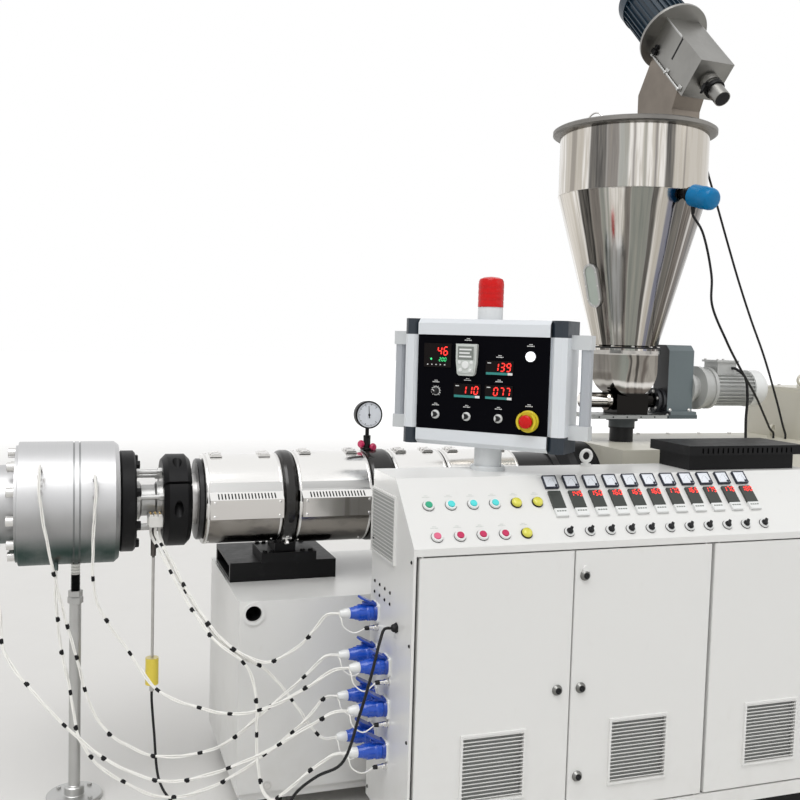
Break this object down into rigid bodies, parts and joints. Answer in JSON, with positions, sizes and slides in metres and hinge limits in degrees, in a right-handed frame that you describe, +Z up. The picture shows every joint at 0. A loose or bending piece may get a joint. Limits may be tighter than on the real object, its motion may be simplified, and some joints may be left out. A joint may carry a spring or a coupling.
{
  "type": "plastic pipe extruder",
  "caption": "Pipe extrusion line head: die on a stand, heated barrel on a base with gearbox and motor, screw feeder with hopper and loader, control cabinet with pendant.",
  "frame": {"origin": "on the floor under the barrel's axis, at the centre of the die stand's foot", "axes": "+X along the machine from the die towards the motor, -Y towards the operator, +Z up"},
  "size_m": [4.414, 1.147, 3.0424],
  "materials": {
    "painted_grey": "smooth light grey-white enamel",
    "black_metal": "black painted and blackened steel",
    "satin_steel": "turned satin steel",
    "polished_steel": "mirror polished stainless steel",
    "bright_steel": "plain bright steel",
    "beige_paint": "grey-beige machine enamel",
    "motor_paint": "blue-grey motor enamel",
    "silver_paint": "silver motor enamel",
    "slate_paint": "blue-grey enamel",
    "navy_paint": "dark blue motor enamel",
    "gauge": "black case, white dial",
    "sight_pane": "clear pane in a clear frame",
    "blue_plastic": "bright blue moulded plastic",
    "sensor_blue": "blue moulded plastic",
    "control_plastic": "black instrument cases, coloured buttons",
    "socket_plastic": "grey sockets with blue lids",
    "yellow_case": "yellow sleeve on a thin steel stem",
    "panel_film": "black panel film with displays",
    "beacon_red": "red lens on a white base",
    "handle_plastic": "grey moulded handle",
    "pendant_plastic": "light grey frame with dark corners",
    "white_sleeve": "white glass-braid sleeve",
    "black_sleeve": "black cable sheath"
  },
  "bodies": {
    "machine": {"base_frame": "painted_grey", "feet_and_plinth": "black_metal", "barrel_support": "black_metal", "die_body": "satin_steel", "die_outlet": "satin_steel", "die_outlet_ring": "satin_steel", "die_mandrel": "satin_steel", "die_stand": "bright_steel", "adapter_flange": "black_metal", "adapter_neck": "bright_steel", "clamp_ring": "black_metal", "barrel": "black_metal", "heater_cover_1": "polished_steel", "heater_cover_2": "polished_steel", "heater_cover_3": "polished_steel", "heater_cover_4": "polished_steel", "cooling_rings": "black_metal", "pressure_gauge": "gauge", "rear_hood": "black_metal", "throat_block": "beige_paint", "gearbox": "beige_paint", "main_motor": "motor_paint", "downpipe": "black_metal", "feeder_plate": "slate_paint", "feeder_trough": "polished_steel", "feeder_gearbox": "slate_paint", "feeder_motor": "silver_paint", "hopper": "polished_steel", "hopper_lid": "bright_steel", "sight_glass": "sight_pane", "level_sensor": "sensor_blue", "loader_chute": "bright_steel", "loader_bracket": "bright_steel", "loader_motor": "navy_paint", "cabinet": "painted_grey", "console": "painted_grey", "vent_box": "black_metal", "console_controls": "control_plastic", "sockets": "socket_plastic", "pendant_neck": "silver_paint", "transducer": "yellow_case", "power_plugs": "blue_plastic", "cable_1": "white_sleeve", "cable_2": "white_sleeve", "cable_3": "white_sleeve", "cable_4": "white_sleeve", "cable_5": "white_sleeve", "cable_6": "white_sleeve", "cable_7": "white_sleeve", "transducer_cable": "black_sleeve", "sensor_cable": "black_sleeve", "loader_cable": "black_sleeve", "feeder_cable": "black_sleeve"},
    "door_left": {"door_left": "painted_grey"},
    "door_middle": {"door_middle": "painted_grey"},
    "door_right": {"door_right": "painted_grey"},
    "pendant": {"pendant_housing": "pendant_plastic", "pendant_panel": "panel_film", "pendant_handles": "handle_plastic", "beacon": "beacon_red"}
  },
  "joints": [
    {"name": "door_left_hinge", "type": "hinge", "parent": "machine", "child": "door_left", "pos_m": [0.917, -0.808, 0.552], "axis": [0, 0, -1], "range_deg": [0, 110]},
    {"name": "door_middle_hinge", "type": "hinge", "parent": "machine", "child": "door_middle", "pos_m": [1.865, -0.808, 0.552], "axis": [0, 0, 1], "range_deg": [0, 90]},
    {"name": "door_right_hinge", "type": "hinge", "parent": "machine", "child": "door_right", "pos_m": [1.913, -0.808, 0.552], "axis": [0, 0, -1], "range_deg": [0, 90]},
    {"name": "pendant_swivel", "type": "hinge", "parent": "machine", "child": "pendant", "pos_m": [1.252, -0.49, 1.3], "axis": [0, 0, 1], "range_deg": [-45, 90]}
  ]
}
